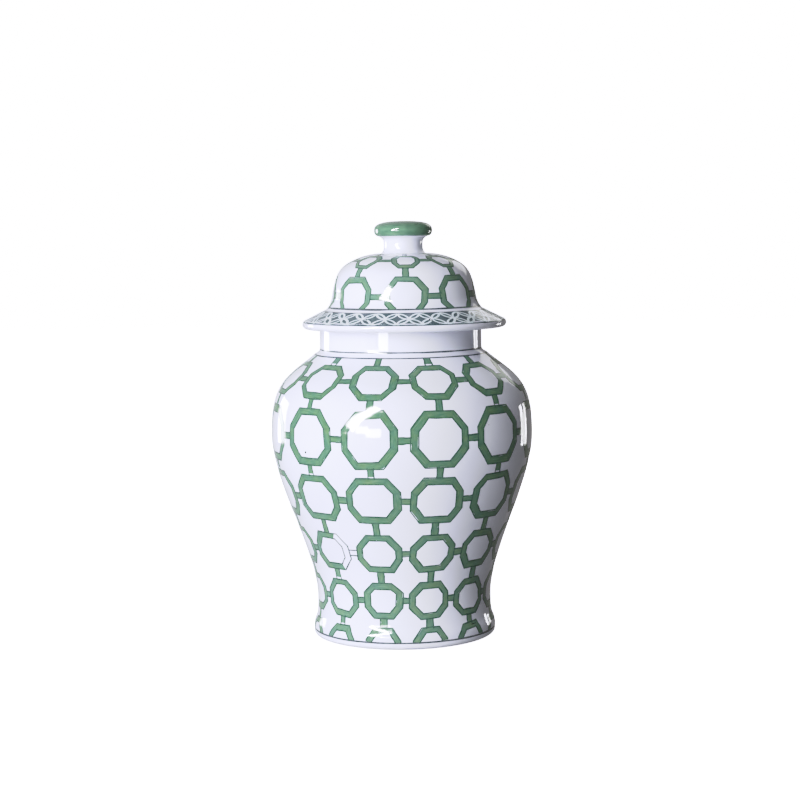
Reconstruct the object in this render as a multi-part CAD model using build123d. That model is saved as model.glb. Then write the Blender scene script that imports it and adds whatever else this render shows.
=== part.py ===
from build123d import *

import math
import os

# Lidded ginger jar in glazed ceramic. Millimetres, +Z up, origin at the centre of the foot's resting plane.
# The jar stands on its foot ring and opens upwards; the lid lifts off along +Z.
# Each section is a solid of revolution, made from an outline of (radius, height) points.

# Walls
WALL = 6.5
FLOOR_THICKNESS = 7.0

# Foot
FOOT_RADIUS = 92.3
FOOT_HEIGHT = 8.0
FOOT_REST_OUTER_RADIUS = 84.4
FOOT_REST_INNER_RADIUS = 79.5
FOOT_BORE_RADIUS = 77.5
FOOT_EDGE_HEIGHT = 4.6
FOOT_FLARE_TANGENT = 14.5

# Waist above the foot, and belly at mid height
WAIST_RADIUS = 88.0
WAIST_HEIGHT = 39.5
WAIST_TANGENT_DOWN = 27.0
WAIST_TANGENT_UP = 45.5
BELLY_RADIUS = 131.75
BELLY_HEIGHT = 204.0
BELLY_TANGENT_DOWN = 46.5
BELLY_TANGENT_UP = 52.5
INNER_CORNER_RADIUS = 12.0

# Shoulder, falling outwards from the neck root at this angle below level
SHOULDER_RADIUS = 87.5
SHOULDER_HEIGHT = 286.0
SHOULDER_ANGLE = 39.0
SHOULDER_TANGENT = 42.0

# Neck
NECK_RADIUS = 81.6
NECK_ROOT_HEIGHT = 292.5
NECK_ROOT_TANGENT = 3.9
SEAT_HEIGHT = 320.0
RIM_ROUND = 1.4

# Lid: it rests a little off the jar's axis, as far as its loose locating ring lets it
LID_OFFSET = 4.0
LOCATING_RING_RADIUS = 70.3
LOCATING_RING_WALL = 5.5
LOCATING_RING_DEPTH = 16.0
LOCATING_RING_ROUND = 1.6
BRIM_RADIUS = 102.8
BRIM_LIP_ROUND = 4.3
BRIM_LIP_HEIGHT = 316.3
BRIM_TOP_RADIUS = 79.5
BRIM_TOP_HEIGHT = 330.6
BRIM_SLOPE_ANGLE = 26.5
SEAT_OUTER_RADIUS = 86.0
LIP_UNDERSIDE_RADIUS = 96.0
DOME_BASE_RADIUS = 72.8
DOME_BASE_HEIGHT = 342.5
DOME_HAUNCH_RADIUS = 66.8
DOME_HAUNCH_HEIGHT = 365.5
DOME_WALL = 6.0
CROWN_RADIUS = 22.5
CROWN_HEIGHT = 386.6
VENT_RADIUS = 2.5

# Knob: a waisted stem under a flattened round cap, hollow
STEM_RADIUS = 19.4
STEM_HEIGHT = 396.0
CAP_UNDERSIDE_RADIUS = 26.0
CAP_UNDERSIDE_HEIGHT = 404.0
CAP_RADIUS = 29.2
CAP_HEIGHT = 410.6
TOTAL_HEIGHT = 419.0
KNOB_BORE_RADIUS = 13.0
KNOB_CAP_WALL = 7.0


def at(radius, height):
    """A point of an outline, in the plane that the outline is turned in."""
    return Vector(radius, 0, height)


def toward(point, angle, distance):
    """The point that lies this far from another, at an angle in degrees above outwards."""
    turn = math.radians(angle)
    return point + Vector(distance * math.cos(turn), 0, distance * math.sin(turn))


def corner_arc(centre_radius, centre_height, size, start_angle, end_angle):
    """A round edge of an outline, given by its centre, its radius and its two end angles."""
    centre = at(centre_radius, centre_height)
    middle_angle = (start_angle + end_angle) / 2
    return ThreePointArc(
        toward(centre, start_angle, size),
        toward(centre, middle_angle, size),
        toward(centre, end_angle, size),
    )


def turned(curves, offset=0.0):
    """The solid that a closed outline sweeps round the vertical axis. Gaps between curves are closed with lines."""
    edges = []
    for curve, following in zip(curves, curves[1:] + curves[:1]):
        edges.append(curve)
        if (curve @ 1 - following @ 0).length > 1e-6:
            edges.append(Line(curve @ 1, following @ 0))
    solid = revolve(Face(Wire(edges)), axis=Axis.Z)
    return Pos(offset, 0, 0) * solid


def foot_ring():
    """The ring that the jar stands on, with a narrow unglazed resting face."""
    outer_edge = Bezier(
        at(FOOT_REST_OUTER_RADIUS, 0),
        at(FOOT_RADIUS - 3, 0),
        at(FOOT_RADIUS, FOOT_EDGE_HEIGHT / 2),
        at(FOOT_RADIUS, FOOT_EDGE_HEIGHT),
    )
    top = Line(at(FOOT_RADIUS, FOOT_HEIGHT), at(FOOT_BORE_RADIUS, FOOT_HEIGHT))
    inner_round = FOOT_REST_INNER_RADIUS - FOOT_BORE_RADIUS
    inner_edge = corner_arc(FOOT_REST_INNER_RADIUS, inner_round, inner_round, 180, 270)
    return turned([outer_edge, top, inner_edge])


def lower_body():
    """The floor and the lower half of the wall, from the foot ring to the belly's widest line."""
    inner_belly = BELLY_RADIUS - WALL
    inner_waist = WAIST_RADIUS - WALL
    floor_top = FOOT_HEIGHT + FLOOR_THICKNESS
    flare = Bezier(
        at(FOOT_RADIUS, FOOT_HEIGHT),
        at(FOOT_RADIUS, FOOT_HEIGHT + FOOT_FLARE_TANGENT),
        at(WAIST_RADIUS, WAIST_HEIGHT - WAIST_TANGENT_DOWN),
        at(WAIST_RADIUS, WAIST_HEIGHT),
    )
    outer_wall = Bezier(
        at(WAIST_RADIUS, WAIST_HEIGHT),
        at(WAIST_RADIUS, WAIST_HEIGHT + WAIST_TANGENT_UP),
        at(BELLY_RADIUS, BELLY_HEIGHT - BELLY_TANGENT_DOWN),
        at(BELLY_RADIUS, BELLY_HEIGHT),
    )
    inner_wall = Bezier(
        at(inner_belly, BELLY_HEIGHT),
        at(inner_belly, BELLY_HEIGHT - BELLY_TANGENT_DOWN),
        at(inner_waist, WAIST_HEIGHT + WAIST_TANGENT_UP),
        at(inner_waist, WAIST_HEIGHT),
    )
    inner_corner = corner_arc(
        inner_waist - INNER_CORNER_RADIUS,
        floor_top + INNER_CORNER_RADIUS,
        INNER_CORNER_RADIUS,
        0,
        -90,
    )
    floor_axis = Line(at(0, floor_top), at(0, FOOT_HEIGHT))
    return turned([flare, outer_wall, inner_wall, inner_corner, floor_axis])


def upper_body():
    """The upper half of the wall: belly, shoulder and the small hollow curve at the neck's root."""
    root = at(SHOULDER_RADIUS, SHOULDER_HEIGHT)
    inner_root = toward(root, 270 - SHOULDER_ANGLE, WALL)
    inner_belly = BELLY_RADIUS - WALL
    neck_bore = NECK_RADIUS - WALL
    outer_shoulder = Bezier(
        at(BELLY_RADIUS, BELLY_HEIGHT),
        at(BELLY_RADIUS, BELLY_HEIGHT + BELLY_TANGENT_UP),
        toward(root, -SHOULDER_ANGLE, SHOULDER_TANGENT),
        root,
    )
    outer_root = Bezier(
        root,
        toward(root, 180 - SHOULDER_ANGLE, NECK_ROOT_TANGENT),
        at(NECK_RADIUS, NECK_ROOT_HEIGHT - NECK_ROOT_TANGENT),
        at(NECK_RADIUS, NECK_ROOT_HEIGHT),
    )
    inner_neck = Bezier(
        at(neck_bore, NECK_ROOT_HEIGHT),
        at(neck_bore, NECK_ROOT_HEIGHT - NECK_ROOT_TANGENT),
        toward(inner_root, 180 - SHOULDER_ANGLE, NECK_ROOT_TANGENT),
        inner_root,
    )
    inner_shoulder = Bezier(
        inner_root,
        toward(inner_root, -SHOULDER_ANGLE, SHOULDER_TANGENT - WALL / 2),
        at(inner_belly, BELLY_HEIGHT + BELLY_TANGENT_UP - WALL / 2),
        at(inner_belly, BELLY_HEIGHT),
    )
    return turned([outer_shoulder, outer_root, inner_neck, inner_shoulder])


def neck_collar():
    """The straight neck, with the unglazed rim that the lid's brim rests on."""
    bore = NECK_RADIUS - WALL
    base = Line(at(bore, NECK_ROOT_HEIGHT), at(NECK_RADIUS, NECK_ROOT_HEIGHT))
    rim_height = SEAT_HEIGHT - RIM_ROUND
    outer_edge = corner_arc(NECK_RADIUS - RIM_ROUND, rim_height, RIM_ROUND, 0, 90)
    inner_edge = corner_arc(bore + RIM_ROUND, rim_height, RIM_ROUND, 90, 180)
    return turned([base, outer_edge, inner_edge])


def inner_side_radius(height):
    """How far from the lid's axis its inner side lies, below the dome's base."""
    ring_bore = LOCATING_RING_RADIUS - LOCATING_RING_WALL
    inner_base = DOME_BASE_RADIUS - DOME_WALL
    share = (height - SEAT_HEIGHT) / (DOME_BASE_HEIGHT - SEAT_HEIGHT)
    return ring_bore + (inner_base - ring_bore) * share


def lid_brim():
    """The lid's sloping brim with its rounded lip, and the flat seat under it."""
    lip_centre = BRIM_RADIUS - BRIM_LIP_ROUND
    lip = corner_arc(lip_centre, BRIM_LIP_HEIGHT, BRIM_LIP_ROUND, 90 - BRIM_SLOPE_ANGLE, -90)
    slope = Line(at(BRIM_TOP_RADIUS, BRIM_TOP_HEIGHT), lip @ 0)
    underside = Line(
        at(LIP_UNDERSIDE_RADIUS, BRIM_LIP_HEIGHT - BRIM_LIP_ROUND),
        at(SEAT_OUTER_RADIUS, SEAT_HEIGHT),
    )
    inner_side = Line(
        at(inner_side_radius(SEAT_HEIGHT), SEAT_HEIGHT),
        at(inner_side_radius(BRIM_TOP_HEIGHT), BRIM_TOP_HEIGHT),
    )
    return turned([slope, lip, underside, inner_side], LID_OFFSET)


def lid_dome():
    """The dome's side, from its spreading foot on the brim up to the haunch."""
    brim_top = at(BRIM_TOP_RADIUS, BRIM_TOP_HEIGHT)
    dome_base = at(DOME_BASE_RADIUS, DOME_BASE_HEIGHT)
    haunch = at(DOME_HAUNCH_RADIUS, DOME_HAUNCH_HEIGHT)
    inner_base = at(DOME_BASE_RADIUS - DOME_WALL, DOME_BASE_HEIGHT)
    inner_haunch = at(DOME_HAUNCH_RADIUS - DOME_WALL, DOME_HAUNCH_HEIGHT - 1)
    outer_dome = Bezier(
        haunch,
        haunch + Vector(3.2, 0, -7.2),
        dome_base + Vector(-1.2, 0, 7.5),
        dome_base,
    )
    dome_foot = Bezier(
        dome_base,
        dome_base + Vector(0.8, 0, -4.0),
        brim_top + Vector(-3.2, 0, 1.6),
        brim_top,
    )
    inner_side = Line(at(inner_side_radius(BRIM_TOP_HEIGHT), BRIM_TOP_HEIGHT), inner_base)
    inner_dome = Bezier(
        inner_base,
        inner_base + Vector(-1.2, 0, 7.5),
        inner_haunch + Vector(3.0, 0, -7.0),
        inner_haunch,
    )
    return turned([outer_dome, dome_foot, inner_side, inner_dome], LID_OFFSET)


def lid_crown():
    """The dome's top, from the haunch in to the small vent hole under the knob."""
    haunch = at(DOME_HAUNCH_RADIUS, DOME_HAUNCH_HEIGHT)
    inner_haunch = at(DOME_HAUNCH_RADIUS - DOME_WALL, DOME_HAUNCH_HEIGHT - 1)
    crown = at(CROWN_RADIUS, CROWN_HEIGHT)
    inner_crown = at(CROWN_RADIUS, CROWN_HEIGHT - DOME_WALL)
    outer_crown = Bezier(
        crown,
        crown + Vector(21.5, 0, -1.0),
        haunch + Vector(-5.6, 0, 12.5),
        haunch,
    )
    ceiling = Bezier(
        inner_haunch,
        inner_haunch + Vector(-4.8, 0, 10.6),
        inner_crown + Vector(20.0, 0, -0.8),
        inner_crown,
    )
    vent = Line(at(VENT_RADIUS, CROWN_HEIGHT - DOME_WALL), at(VENT_RADIUS, CROWN_HEIGHT))
    return turned([outer_crown, ceiling, vent], LID_OFFSET)


def lid_locating_ring():
    """The ring under the brim that hangs inside the neck and keeps the lid from sliding off."""
    bore = LOCATING_RING_RADIUS - LOCATING_RING_WALL
    top = Line(at(LOCATING_RING_RADIUS, SEAT_HEIGHT), at(bore, SEAT_HEIGHT))
    edge_height = SEAT_HEIGHT - LOCATING_RING_DEPTH + LOCATING_RING_ROUND
    inner_edge = corner_arc(bore + LOCATING_RING_ROUND, edge_height, LOCATING_RING_ROUND, 180, 270)
    outer_edge = corner_arc(
        LOCATING_RING_RADIUS - LOCATING_RING_ROUND, edge_height, LOCATING_RING_ROUND, 270, 360
    )
    return turned([top, inner_edge, outer_edge], LID_OFFSET)


def lid_knob():
    """The hollow knob that the lid is lifted by."""
    root = at(CROWN_RADIUS, CROWN_HEIGHT)
    stem = at(STEM_RADIUS, STEM_HEIGHT)
    cap_underside = at(CAP_UNDERSIDE_RADIUS, CAP_UNDERSIDE_HEIGHT)
    cap = at(CAP_RADIUS, CAP_HEIGHT)
    top = at(0, TOTAL_HEIGHT)
    ceiling_height = TOTAL_HEIGHT - KNOB_CAP_WALL
    base = Line(at(KNOB_BORE_RADIUS, CROWN_HEIGHT), root)
    stem_foot = Bezier(root, root + Vector(-2.9, 0, 2.0), stem + Vector(0, 0, -4.0), stem)
    stem_flare = Bezier(
        stem,
        stem + Vector(0, 0, 4.5),
        cap_underside + Vector(-4.5, 0, -1.2),
        cap_underside,
    )
    cap_edge = Bezier(
        cap_underside,
        cap_underside + Vector(3.0, 0, 1.2),
        cap + Vector(0.1, 0, -3.0),
        cap,
    )
    cap_top = Bezier(cap, cap + Vector(-0.5, 0, 5.5), top + Vector(22.0, 0, 0), top)
    hollow = Bezier(
        at(0, ceiling_height),
        at(KNOB_BORE_RADIUS * 0.6, ceiling_height),
        at(KNOB_BORE_RADIUS, ceiling_height - 3),
        at(KNOB_BORE_RADIUS, STEM_HEIGHT),
    )
    return turned([base, stem_foot, stem_flare, cap_edge, cap_top, hollow], LID_OFFSET)


nodes = {
    "foot_ring": foot_ring,
    "lower_body": lower_body,
    "upper_body": upper_body,
    "neck_collar": neck_collar,
    "lid_brim": lid_brim,
    "lid_dome": lid_dome,
    "lid_crown": lid_crown,
    "lid_locating_ring": lid_locating_ring,
    "lid_knob": lid_knob,
}

os.makedirs("parts", exist_ok=True)
for name, make in nodes.items():
    export_step(make(), f"parts/{name}.step")
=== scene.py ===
"""A lidded ginger jar in glazed porcelain, painted by hand with a green lattice."""

import math
import random

import bpy
import numpy as np
from mathutils import Matrix, Vector


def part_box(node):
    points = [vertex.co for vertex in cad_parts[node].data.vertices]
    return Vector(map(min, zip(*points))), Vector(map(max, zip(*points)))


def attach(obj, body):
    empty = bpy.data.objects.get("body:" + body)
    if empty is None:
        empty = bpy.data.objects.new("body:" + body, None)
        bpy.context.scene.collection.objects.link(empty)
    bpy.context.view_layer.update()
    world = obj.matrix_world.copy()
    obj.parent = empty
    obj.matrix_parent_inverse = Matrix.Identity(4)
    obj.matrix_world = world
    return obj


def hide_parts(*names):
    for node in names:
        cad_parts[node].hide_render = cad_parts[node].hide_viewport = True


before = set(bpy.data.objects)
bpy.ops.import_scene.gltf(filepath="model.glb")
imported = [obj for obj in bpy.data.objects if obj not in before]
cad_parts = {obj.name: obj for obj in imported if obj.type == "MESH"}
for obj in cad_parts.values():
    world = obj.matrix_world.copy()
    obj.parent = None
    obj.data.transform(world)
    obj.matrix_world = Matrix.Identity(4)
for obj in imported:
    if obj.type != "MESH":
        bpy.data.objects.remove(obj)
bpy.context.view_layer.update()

MM = 0.001
HAND = random.Random(11)  # every wobble of the painter's hand is drawn from here

# ---- sizes, from the frame

FOOT_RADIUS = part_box("foot_ring")[1].x / MM
FOOT_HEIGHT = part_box("foot_ring")[1].z / MM
BELLY_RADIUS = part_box("upper_body")[1].x / MM
BELLY_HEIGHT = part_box("lower_body")[1].z / MM
NECK_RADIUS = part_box("neck_collar")[1].x / MM
NECK_ROOT_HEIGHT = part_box("neck_collar")[0].z / MM
SEAT_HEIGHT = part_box("neck_collar")[1].z / MM
BRIM_LOW, BRIM_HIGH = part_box("lid_brim")
LID_CENTRE = (BRIM_LOW.x + BRIM_HIGH.x) / 2 / MM
BRIM_RADIUS = (BRIM_HIGH.x - BRIM_LOW.x) / 2 / MM
LIP_LOW = BRIM_LOW.z / MM
LIP_ROUND = 4.3
CROWN_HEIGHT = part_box("lid_crown")[1].z / MM
RING_LOW, RING_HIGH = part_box("lid_locating_ring")
RING_RADIUS = (RING_HIGH.x - RING_LOW.x) / 2 / MM
KNOB_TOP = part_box("lid_knob")[1].z / MM

WALL = 6.5
FLOOR_THICKNESS = 7.0
DOME_WALL = 6.0
RING_WALL = 5.5
RING_ROUND = 1.6
RIM_ROUND = 1.4
INNER_CORNER = 12.0
FOOT_BORE = 77.5
REST_INNER, REST_OUTER = 79.5, 84.4
FOOT_EDGE_HEIGHT = 4.6
SEAT_OUTER_RADIUS = 86.0
LIP_UNDERSIDE_RADIUS = 96.0
VENT_RADIUS = 2.5
KNOB_BORE = 13.0
KNOB_BORE_TOP = 396.0
KNOB_CAP_WALL = 7.0

# Where the outlines turn, as (radius, height), how far the curve keeps its direction there, and the slope of
# the shoulder and of the lip's upper end, in degrees
BELLY = np.array([BELLY_RADIUS, BELLY_HEIGHT])
BELLY_DOWN, BELLY_UP = 46.5, 52.5
WAIST = np.array([88.0, 39.5])
WAIST_DOWN, WAIST_UP = 27.0, 45.5
FOOT_UP = 14.5
SHOULDER = np.array([87.5, 286.0])
SHOULDER_DOWN = 42.0
SHOULDER_SLOPE = -39.0
NECK_ROOT = np.array([NECK_RADIUS, NECK_ROOT_HEIGHT])
NECK_HOLLOW = 3.9
BRIM_TOP = np.array([79.5, 330.6])
LIP_END_ANGLE = 63.5
DOME_BASE = np.array([72.8, 342.5])
HAUNCH = np.array([66.8, 365.5])
CROWN = np.array([22.5, CROWN_HEIGHT])

# ---- outlines, in millimetres


def bezier(start, pull_start, pull_end, end, steps):
    """Points of a cubic curve, as (radius, height) pairs."""
    t = np.linspace(0, 1, steps + 1)[:, None]
    a, b, c, d = (np.array(p, float) for p in (start, pull_start, pull_end, end))
    return (1 - t) ** 3 * a + 3 * (1 - t) ** 2 * t * b + 3 * (1 - t) * t * t * c + t ** 3 * d


def arc(centre, size, start_angle, end_angle, steps):
    """Points of a circular arc, angles in degrees from outwards."""
    turn = np.radians(np.linspace(start_angle, end_angle, steps + 1))[:, None]
    return np.array(centre, float) + size * np.hstack([np.cos(turn), np.sin(turn)])


def line(start, end, steps):
    t = np.linspace(0, 1, steps + 1)[:, None]
    return (1 - t) * np.array(start, float) + t * np.array(end, float)


def joined(*runs):
    """One outline from several runs of points, without doubled points."""
    points = [runs[0][0]]
    for run in runs:
        for point in run:
            if np.hypot(*(point - points[-1])) > 1e-6:
                points.append(point)
    return np.array(points)


def along(angle, distance):
    """The step of this length at an angle in degrees above outwards."""
    turn = math.radians(angle)
    return np.array([distance * math.cos(turn), distance * math.sin(turn)])


def jar_wall_outline():
    """The jar's painted side, from the foot ring's resting edge up to the neck's rim."""
    edge = np.array([FOOT_RADIUS, FOOT_EDGE_HEIGHT])
    foot_top = np.array([FOOT_RADIUS, FOOT_HEIGHT])
    down, up = along(SHOULDER_SLOPE, SHOULDER_DOWN), along(SHOULDER_SLOPE, NECK_HOLLOW)
    return joined(
        bezier((REST_OUTER, 0), (FOOT_RADIUS - 3, 0), (FOOT_RADIUS, FOOT_EDGE_HEIGHT / 2), edge, 10),
        line(edge, foot_top, 2),
        bezier(foot_top, foot_top + (0, FOOT_UP), WAIST - (0, WAIST_DOWN), WAIST, 24),
        bezier(WAIST, WAIST + (0, WAIST_UP), BELLY - (0, BELLY_DOWN), BELLY, 90),
        bezier(BELLY, BELLY + (0, BELLY_UP), SHOULDER + down, SHOULDER, 60),
        bezier(SHOULDER, SHOULDER - up, NECK_ROOT - (0, NECK_HOLLOW), NECK_ROOT, 10),
        line(NECK_ROOT, (NECK_RADIUS, SEAT_HEIGHT - RIM_ROUND), 12),
    )


def lid_top_outline():
    """The lid's painted side, from the lip's lowest line up to the knob's root."""
    lip = arc((BRIM_RADIUS - LIP_ROUND, LIP_LOW + LIP_ROUND), LIP_ROUND, -90, LIP_END_ANGLE, 14)
    return joined(
        lip,
        line(lip[-1], BRIM_TOP, 14),
        bezier(BRIM_TOP, BRIM_TOP + (-3.2, 1.6), DOME_BASE + (0.8, -4.0), DOME_BASE, 12),
        bezier(DOME_BASE, DOME_BASE + (-1.2, 7.5), HAUNCH + (3.2, -7.2), HAUNCH, 20),
        bezier(HAUNCH, HAUNCH + (-5.6, 12.5), CROWN + (21.5, -1.0), CROWN, 48),
    )


class Skin:
    """A turned surface that paint is laid on. A point is found by its azimuth and its distance up the
    outline. Azimuth 0 faces the front (-Y) and grows towards +X. Distances are in millimetres."""

    def __init__(self, outline, centre, body, waviness, seed):
        self.outline, self.centre, self.body, self.waviness = outline, centre, body, waviness
        self.phase = np.random.RandomState(seed).uniform(0, 2 * math.pi, 8)
        steps = np.hypot(*np.diff(outline, axis=0).T)
        self.distance = np.concatenate([[0], np.cumsum(steps)])
        self.length = self.distance[-1]
        slope = np.gradient(outline, self.distance, axis=0)
        self.slope = slope / np.linalg.norm(slope, axis=1)[:, None]

    def radius(self, distance):
        return np.interp(distance, self.distance, self.outline[:, 0])

    def height(self, distance):
        return np.interp(distance, self.distance, self.outline[:, 1])

    def at_height(self, height):
        """The distance up the outline of a height, where the outline only climbs."""
        return float(np.interp(height, self.outline[:, 1], self.distance))

    def wave(self, turn, distance):
        """The slow unevenness of a hand-finished form, in millimetres, fading out at both ends."""
        p = self.phase
        fade = np.clip(distance / 20, 0, 1) * np.clip((self.length - distance) / 20, 0, 1)
        wave = np.sin(2 * turn + p[0]) * np.sin(distance / 47 + p[1])
        wave = wave + 0.6 * np.sin(3 * turn + p[2]) * np.sin(distance / 31 + p[3])
        wave = wave + 0.35 * np.sin(5 * turn + p[4]) * np.sin(distance / 19 + p[5])
        wave = wave + 0.3 * np.sin(distance / 11 + 1.5 * np.sin(turn + p[6]))
        return self.waviness * fade * wave

    def place(self, azimuth, distance, lift=0.0):
        """Points in metres, in the row frame."""
        turn = np.radians(np.asarray(azimuth, float))
        distance = np.asarray(distance, float)
        out = np.asarray(lift, float) + self.wave(turn, distance)
        across = np.interp(distance, self.distance, self.slope[:, 1])
        up = np.interp(distance, self.distance, -self.slope[:, 0])
        radius = self.radius(distance) + out * across
        height = self.height(distance) + out * up
        points = [self.centre + radius * np.sin(turn), -radius * np.cos(turn), height]
        return np.stack(np.broadcast_arrays(*points), axis=-1) * MM

    def normal(self, azimuth, distance):
        """Which way the bare surface faces."""
        azimuth, distance = np.asarray(azimuth, float), np.asarray(distance, float)
        round_step = self.place(azimuth + 0.1, distance) - self.place(azimuth - 0.1, distance)
        up_step = self.place(azimuth, distance + 0.3) - self.place(azimuth, distance - 0.3)
        facing = np.cross(round_step, up_step)
        return facing / np.linalg.norm(facing, axis=-1, keepdims=True)


JAR = Skin(jar_wall_outline(), 0.0, "jar", waviness=0.13, seed=5)
LID = Skin(lid_top_outline(), LID_CENTRE, "lid", waviness=0.1, seed=6)

# ---- mesh building

SEGMENTS = 224
KNOB_SEGMENTS = 160
CLOSE_RUN = 12  # millimetres at the start of a skin where its rings stand a millimetre apart
GLAZE, BARE, GREEN = 0, 1, 2


def new_mesh(name, points, faces, materials, face_materials=None, values=None, normals=None):
    """A smooth-shaded object. values holds named numbers per point, for the paint's brush marks."""
    mesh = bpy.data.meshes.new(name)
    mesh.from_pydata(np.asarray(points).tolist(), [], faces)
    for material in materials:
        mesh.materials.append(material)
    mesh.shade_smooth()
    if face_materials is not None:
        mesh.polygons.foreach_set("material_index", face_materials)
    for key, numbers in (values or {}).items():
        attribute = mesh.attributes.new(key, "FLOAT", "POINT")
        attribute.data.foreach_set("value", np.asarray(numbers, np.float32))
    mesh.validate()
    mesh.update()
    if normals is not None:
        mesh.normals_split_custom_set_from_vertices(normals)
    piece = bpy.data.objects.new(name, mesh)
    bpy.context.scene.collection.objects.link(piece)
    return piece


def turned_piece(name, rows, segments, materials):
    """A closed body of revolution. rows is a list of (ring of points, material index of the band that
    follows), and a row with one point is a pole."""
    points, faces, indices, starts = [], [], [], []
    for ring, _ in rows:
        starts.append(len(points))
        points.extend(ring)
    count = len(rows)
    closed = len(rows[0][0]) > 1
    for i in range(count if closed else count - 1):
        here, there = i, (i + 1) % count
        a, b = starts[here], starts[there]
        for k in range(segments):
            n = (k + 1) % segments
            if len(rows[here][0]) == 1:
                faces.append((a, b + n, b + k))
            elif len(rows[there][0]) == 1:
                faces.append((a + k, a + n, b))
            else:
                faces.append((a + k, a + n, b + n, b + k))
            indices.append(rows[here][1])
    return new_mesh(name, points, faces, materials, indices)


def plain_rings(outline, centre, segments, material):
    """Rows of a turned piece from (radius, height) points, with a pole where the radius is 0."""
    turn = np.linspace(0, 2 * math.pi, segments, endpoint=False)
    rows = []
    for radius, height in outline:
        if radius < 1e-6:
            rows.append(([(centre * MM, 0.0, height * MM)], material))
            continue
        ring = [centre + radius * np.sin(turn), -radius * np.cos(turn), np.full(segments, height)]
        rows.append((np.stack(ring, axis=-1) * MM, material))
    return rows


def skin_rings(skin, steps):
    """Glazed rows up a whole skin, close together where it starts with a tight round."""
    close = np.linspace(0, CLOSE_RUN, CLOSE_RUN, endpoint=False)
    distances = np.concatenate([close, np.linspace(CLOSE_RUN, skin.length, steps)])
    azimuths = np.degrees(np.linspace(0, 2 * math.pi, SEGMENTS, endpoint=False))
    return [(skin.place(azimuths, distance), GLAZE) for distance in distances]


def end_with(rows, material):
    """Gives the band after the last row another material."""
    rows[-1] = (rows[-1][0], material)


# ---- the jar and the lid


def build_jar(materials):
    """Foot, wall, shoulder and neck as one glazed form, bare where it stands and where the lid sits."""
    bore = NECK_RADIUS - WALL
    rim = SEAT_HEIGHT - RIM_ROUND
    root = np.array([bore, NECK_ROOT_HEIGHT])
    shoulder = SHOULDER + along(270 + SHOULDER_SLOPE, WALL)
    down, up = along(SHOULDER_SLOPE, SHOULDER_DOWN - 3.2), along(SHOULDER_SLOPE, NECK_HOLLOW)
    belly, waist = BELLY - (WALL, 0), WAIST - (WALL, 0)
    floor_top = FOOT_HEIGHT + FLOOR_THICKNESS
    corner = waist[0] - INNER_CORNER
    bore_round = REST_INNER - FOOT_BORE
    bore_corner = FOOT_BORE - bore_round
    underside = joined(
        line((0, FOOT_HEIGHT), (bore_corner, FOOT_HEIGHT), 8),
        arc((bore_corner, FOOT_HEIGHT - bore_round), bore_round, 90, 0, 4),
        line((FOOT_BORE, FOOT_HEIGHT - bore_round), (FOOT_BORE, bore_round), 2),
        arc((REST_INNER, bore_round), bore_round, 180, 270, 4),
    )
    rest = line((REST_INNER, 0), (REST_OUTER - 0.4, 0), 2)
    rim_top = joined(
        arc((NECK_RADIUS - RIM_ROUND, rim), RIM_ROUND, 10, 90, 5),
        arc((bore + RIM_ROUND, rim), RIM_ROUND, 90, 180, 5),
    )
    inside = joined(
        line((bore, rim), root, 6),
        bezier(root, root - (0, NECK_HOLLOW), shoulder - up, shoulder, 6),
        bezier(shoulder, shoulder + down, belly + (0, BELLY_UP - 3.3), belly, 22),
        bezier(belly, belly - (0, BELLY_DOWN), waist + (0, WAIST_UP), waist, 30),
        arc((corner, floor_top + INNER_CORNER), INNER_CORNER, 0, -90, 8),
        line((corner, floor_top), (0, floor_top), 8),
    )
    rows = plain_rings(underside, 0.0, SEGMENTS, GLAZE)
    end_with(rows, BARE)
    rows += plain_rings(rest[1:], 0.0, SEGMENTS, BARE)
    end_with(rows, GLAZE)
    rows += skin_rings(JAR, 170)
    rows += plain_rings(rim_top, 0.0, SEGMENTS, BARE)
    end_with(rows, GLAZE)
    rows += plain_rings(inside[1:], 0.0, SEGMENTS, GLAZE)
    jar = turned_piece("jar_body", rows, SEGMENTS, materials)
    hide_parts("foot_ring", "lower_body", "upper_body", "neck_collar")
    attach(jar, "jar")


def build_lid(materials):
    """Brim and dome, bare where the brim sits on the neck's rim."""
    bore = RING_RADIUS - RING_WALL
    haunch = HAUNCH - (DOME_WALL, 1.0)
    crown = CROWN - (0, DOME_WALL)
    base = DOME_BASE - (DOME_WALL, 0)
    underside = joined(
        line((VENT_RADIUS, crown[1]), crown, 4),
        bezier(crown, crown + (20.0, -0.8), haunch + (-4.8, 10.6), haunch, 16),
        bezier(haunch, haunch + (3.0, -7.0), base + (-1.2, 7.5), base, 8),
        line(base, (bore, SEAT_HEIGHT), 6),
    )
    seat = line((bore, SEAT_HEIGHT), (SEAT_OUTER_RADIUS, SEAT_HEIGHT), 6)
    brim_under = line((SEAT_OUTER_RADIUS, SEAT_HEIGHT), (LIP_UNDERSIDE_RADIUS, LIP_LOW), 5)
    rows = plain_rings([(VENT_RADIUS, CROWN_HEIGHT)], LID_CENTRE, SEGMENTS, GLAZE)
    rows += plain_rings(underside, LID_CENTRE, SEGMENTS, GLAZE)
    end_with(rows, BARE)
    rows += plain_rings(seat[1:], LID_CENTRE, SEGMENTS, BARE)
    end_with(rows, GLAZE)
    rows += plain_rings(brim_under[1:], LID_CENTRE, SEGMENTS, GLAZE)
    rows += skin_rings(LID, 90)
    lid = turned_piece("lid_dome_and_brim", rows, SEGMENTS, materials)
    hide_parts("lid_brim", "lid_dome", "lid_crown")
    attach(lid, "lid")


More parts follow.
